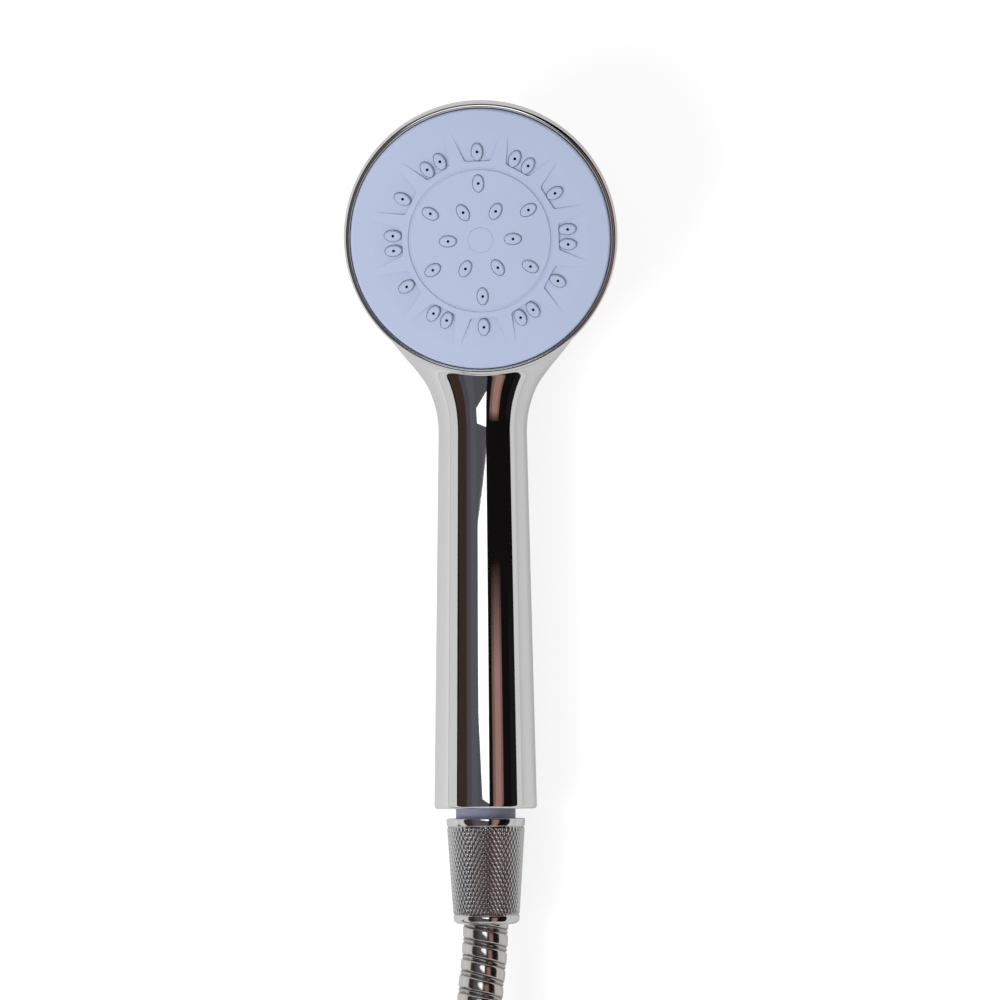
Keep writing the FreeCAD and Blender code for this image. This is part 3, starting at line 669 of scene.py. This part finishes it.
chromeValues = {
    "metallic": 1.0, "colour": (0.86, 0.86, 0.865), "dullColour": (0.78, 0.775, 0.77), "roughness": 0.035,
    "spread": 0.012, "dullRoughness": 0.05, "smudgeScale": 22.0, "smudges": 0.35, "grainScale": 420.0,
    "speckScale": 900.0, "specks": 0.22, "speckStrength": 0.35, "speckColour": (0.6, 0.59, 0.57),
    "bump": 0.02, "bumpDepth": 0.0001,
}
faceValues = {
    "colour": (0.412, 0.472, 0.640), "dullColour": (0.440, 0.500, 0.668), "roughness": 0.40, "spread": 0.08,
    "dullRoughness": 0.05, "smudgeScale": 16.0, "smudges": 0.6, "grainScale": 2600.0, "speckScale": 1500.0,
    "specks": 0.15, "speckStrength": 0.25, "speckColour": (0.60, 0.64, 0.76), "bump": 0.10,
    "bumpDepth": 0.00008,
}
siliconeValues = {
    **faceValues, "colour": (0.400, 0.468, 0.632), "dullColour": (0.43, 0.50, 0.66), "roughness": 0.52,
    "grainScale": 3600.0, "bump": 0.16,
}
innerValues = {
    **faceValues, "colour": (0.205, 0.215, 0.30), "dullColour": (0.24, 0.25, 0.33), "roughness": 0.36,
}
steelValues = {
    **chromeValues, "colour": (0.62, 0.615, 0.60), "dullColour": (0.5, 0.49, 0.47), "roughness": 0.22,
    "spread": 0.10, "grainScale": 1500.0, "bump": 0.10, "smudges": 0.5,
}
brassValues = {
    **chromeValues, "colour": (0.72, 0.70, 0.66), "dullColour": (0.60, 0.54, 0.42), "roughness": 0.18,
    "spread": 0.08, "smudges": 0.7, "smudgeScale": 90.0, "bump": 0.06, "grainScale": 1100.0,
}
nutValues = {
    **chromeValues, "colour": (0.80, 0.80, 0.80), "dullColour": (0.70, 0.69, 0.67), "roughness": 0.085,
    # groove and its colour: painted shade in the knurl's sunk grooves
    "spread": 0.04, "groove": 0.72, "paintedGrooveShade": (0.16, 0.155, 0.15), "grooveRoughness": 0.12,
    "bump": 0.05, "grainScale": 1400.0,
}
hoseValues = {
    **chromeValues, "colour": (0.72, 0.70, 0.68), "dullColour": (0.58, 0.55, 0.52), "roughness": 0.16,
    # groove and its colour: painted shade in the wound strip's sunk seams
    "spread": 0.08, "groove": 0.8, "paintedGrooveShade": (0.07, 0.06, 0.055), "grooveRoughness": 0.12,
    "bump": 0.06, "grainScale": 1600.0, "smudgeScale": 40.0, "smudges": 0.5,
}
rubberValues = {
    "colour": (0.022, 0.022, 0.024), "dullColour": (0.05, 0.05, 0.052), "roughness": 0.62, "spread": 0.1,
    "dullRoughness": 0.1, "smudgeScale": 120.0, "smudges": 0.5, "grainScale": 3000.0, "speckScale": 2600.0,
    "specks": 0.4, "speckStrength": 0.3, "speckColour": (0.16, 0.16, 0.16), "bump": 0.2, "bumpDepth": 0.0001,
}
valveValues = {
    **faceValues, "colour": (0.74, 0.74, 0.70), "dullColour": (0.66, 0.65, 0.60), "roughness": 0.38,
}

chrome = finish("chrome_plating", chromeValues)
facePlastic = finish("face_plastic", faceValues)
silicone = finish("nozzle_silicone", siliconeValues)
innerPlastic = finish("inner_plastic", innerValues)
steel = finish("stainless_steel", steelValues)
brass = finish("plated_brass", brassValues)
nutChrome = finish("knurled_chrome", nutValues)
hoseMetal = finish("hose_metal", hoseValues)
rubber = finish("black_rubber", rubberValues)
valvePlastic = finish("white_plastic", valveValues)

wears = {
    "body_skin": chrome, "cone_nut_skin": nutChrome, "hose_skin": hoseMetal, "spray_plate": facePlastic,
    "nozzle_mat": silicone, "screw_cap": facePlastic, "centre_screw": steel, "screw_washer": rubber,
    "diffuser_plate": valvePlastic, "chamber_seal": rubber, "chamber_back": innerPlastic,
    "chamber_screws": steel, "inlet_tube": innerPlastic, "inlet_o_ring": rubber, "outlet_o_ring": rubber,
    "flow_restrictor": valvePlastic, "filter_screen": steel, "hose_washer_top": rubber,
    "tailpiece_top": brass, "crimp_sleeve_top": steel, "crimp_sleeve_bottom": steel,
    "tailpiece_bottom": brass, "hose_washer_bottom": rubber, "wall_nut": chrome,
}
for name, material in wears.items():
    piece = bpy.data.objects[name]
    if not piece.material_slots:
        piece.data.materials.append(material)
    for slot in piece.material_slots:
        slot.material = material
print("materials:", len(bpy.data.materials))


# The studio: a white floor that gives back light, an even white surround and one large soft lamp.
studio = {
    "surround": 0.66,
    "floorHalf": 3.0,
    "floorDrop": 0.0002,       # the floor lies just under what stands on it
    "floorColour": 0.38,
    "floorSpread": 0.01,
    "floorGlow": 0.72,
    "mirroredGlow": 0.25,      # the floor's glow as the chrome sees it
    "lamp": 2.1,
    "lampSize": 0.28,
    "lampPlace": (-0.34, -0.20, 0.42),
    "lampAim": (0.0, 0.06, 0.04),
}


def makeStudio(v):
    half = v["floorHalf"]
    corners = ((-half, -half), (half, -half), (half, half), (-half, half))
    corners = np.array([(x, y, -v["floorDrop"]) for x, y in corners])
    floorPiece = newMesh("floor", corners, [[0, 1, 2, 3]], smooth=False)
    material, tree, shader = newMaterial("floor_white", Roughness=0.8, Emission_Color=(1.0, 1.0, 1.0, 1.0))
    mirrored = addNode(tree, "ShaderNodeLightPath").outputs["Is Glossy Ray"]
    tree.links.new(rampBetween(tree, mirrored, 0.0, 1.0, v["floorGlow"], v["mirroredGlow"]),
                   shader.inputs["Emission Strength"])
    colour, spread = v["floorColour"], v["floorSpread"]
    soft = rampBetween(tree, noise(tree, 3.0), 0.3, 0.7, colour - spread, colour + spread)
    tree.links.new(addNode(tree, "ShaderNodeCombineColor", {0: soft, 1: soft, 2: soft}).outputs[0],
                   shader.inputs["Base Color"])
    floorPiece.data.materials.append(material)
    world = bpy.data.worlds.new("surround")
    bpy.context.scene.world = world
    world.use_nodes = True
    back = world.node_tree.nodes["Background"]
    back.inputs["Color"].default_value = (1.0, 1.0, 1.0, 1.0)
    back.inputs["Strength"].default_value = v["surround"]
    lamp = bpy.data.objects.new("lamp", bpy.data.lights.new("lamp", "AREA"))
    bpy.context.scene.collection.objects.link(lamp)
    lamp.data.size = v["lampSize"]
    lamp.data.energy = v["lamp"]
    lamp.location = v["lampPlace"]
    lamp.rotation_euler = (Vector(v["lampAim"]) - lamp.location).to_track_quat("-Z", "Y").to_euler()
    lamp.visible_glossy = False
    bpy.context.scene.view_settings.view_transform = "Standard"


makeStudio(studio)


# The room overhead that the chrome mirrors, seen only in reflections: part of a cylinder, at
# (radius sin angle, y, radius cos angle). Its colour goes by that angle, with a white panel that ends in a
# point.
roomValues = {
    "radius": 0.9,
    "length": 2.2,
    "from": -66.0,
    "to": 74.6,
    # the angle where each band starts, and its colour
    "bands": [(-66.0, (0.004, 0.004, 0.004)), (-61.5, (0.045, 0.028, 0.022)), (-40.0, (0.075, 0.072, 0.085)),
              (-30.0, (0.10, 0.10, 0.115)), (-15.0, (0.085, 0.083, 0.095)), (9.0, (0.006, 0.005, 0.005)),
              (18.6, (0.20, 0.115, 0.095)), (24.0, (0.34, 0.20, 0.165)), (36.0, (0.22, 0.12, 0.10)),
              (40.5, (0.006, 0.005, 0.005)), (60.0, (0.012, 0.010, 0.010))],
    "bandEdge": 0.012,
    "uneven": 1.2,             # how far the bands' edges wander, in degrees
    "panelLeft": -14.0,
    "panelRight": 9.3,
    "panelTop": 0.175,
    "panelPoint": 0.05,
    "panelFoot": -0.16,
    "panelNarrow": 0.16,
    "panelEdge": 0.8,
    "panelStrength": 1.6,
    "warmFrom": 14.0,          # past this angle the room is dark beyond warmTop
    "warmTop": 0.10,
    "warmFade": 0.07,
    "dark": (0.006, 0.005, 0.005),
}


def makeRoom(v):
    angles = np.radians(np.linspace(v["from"], v["to"], 48))
    along = np.linspace(-v["length"] / 2, v["length"] / 2, 6)
    a, y = np.meshgrid(angles, along, indexing="ij")
    points = np.stack([v["radius"] * np.sin(a), y, v["radius"] * np.cos(a)], -1).reshape(-1, 3)
    room = newMesh("room_overhead", points, gridFaces(*a.shape, closed=False))
    material = bpy.data.materials.new("room_glow")
    material.use_nodes = True
    tree = material.node_tree
    tree.nodes.clear()
    here = addNode(tree, "ShaderNodeTexCoord").outputs["Object"]
    place = addNode(tree, "ShaderNodeSeparateXYZ", {0: here}).outputs
    turn = mathNode(tree, "MULTIPLY", mathNode(tree, "ARCTAN2", place["X"], place["Z"]), 180.0 / math.pi)
    # slightly uneven edges, as a furnished room has
    wander = rampBetween(tree, noise(tree, 2.6, 2.0), 0.3, 0.7, -v["uneven"], v["uneven"])
    turn = mathNode(tree, "ADD", turn, wander)
    ramp = addNode(tree, "ShaderNodeValToRGB", {0: rampBetween(tree, turn, v["from"], v["to"], 0.0, 1.0)})
    stops = ramp.color_ramp.elements
    span = v["to"] - v["from"]
    stops[0].position = 0.0
    stops[0].color = (*v["bands"][0][1], 1.0)
    stops.remove(stops[1])
    previous = v["bands"][0][1]
    for angle, colour in v["bands"][1:]:
        at = (angle - v["from"]) / span
        stops.new(at - v["bandEdge"]).color = (*previous, 1.0)
        stops.new(at).color = (*colour, 1.0)
        previous = colour
    # the panel's left edge moves right by the whole width at its top and at its foot
    width = v["panelRight"] - v["panelLeft"]
    tip = rampBetween(tree, place["Y"], v["panelTop"] - v["panelPoint"], v["panelTop"], 0.0, width)
    foot = rampBetween(tree, place["Y"], v["panelFoot"], v["panelFoot"] + v["panelNarrow"], width, 0.0)
    left = mathNode(tree, "ADD", mathNode(tree, "ADD", tip, foot), v["panelLeft"])
    edge, white = v["panelEdge"], v["panelStrength"]
    inside = mathNode(tree, "MULTIPLY", mathNode(tree, "SUBTRACT", turn, left), edge, clamp=True)
    under = mathNode(tree, "MULTIPLY", mathNode(tree, "SUBTRACT", v["panelRight"], turn), edge, clamp=True)
    panel = mathNode(tree, "MULTIPLY", inside, under)
    beyond = mathNode(tree, "MULTIPLY", mathNode(tree, "GREATER_THAN", turn, v["warmFrom"]),
                      rampBetween(tree, place["Y"], v["warmTop"] - v["warmFade"], v["warmTop"], 0.0, 1.0))
    colour = mixColour(tree, beyond, ramp.outputs[0], (*v["dark"], 1.0))
    colour = mixColour(tree, panel, colour, (white, white, white, 1.0))
    glow = addNode(tree, "ShaderNodeEmission", {"Color": colour, "Strength": 1.0})
    out = tree.nodes.new("ShaderNodeOutputMaterial")
    tree.links.new(glow.outputs[0], out.inputs["Surface"])
    room.data.materials.append(material)
    room.visible_camera = False
    room.visible_diffuse = False
    room.visible_shadow = False
    room.visible_transmission = False


makeRoom(roomValues)
print("studio ready")
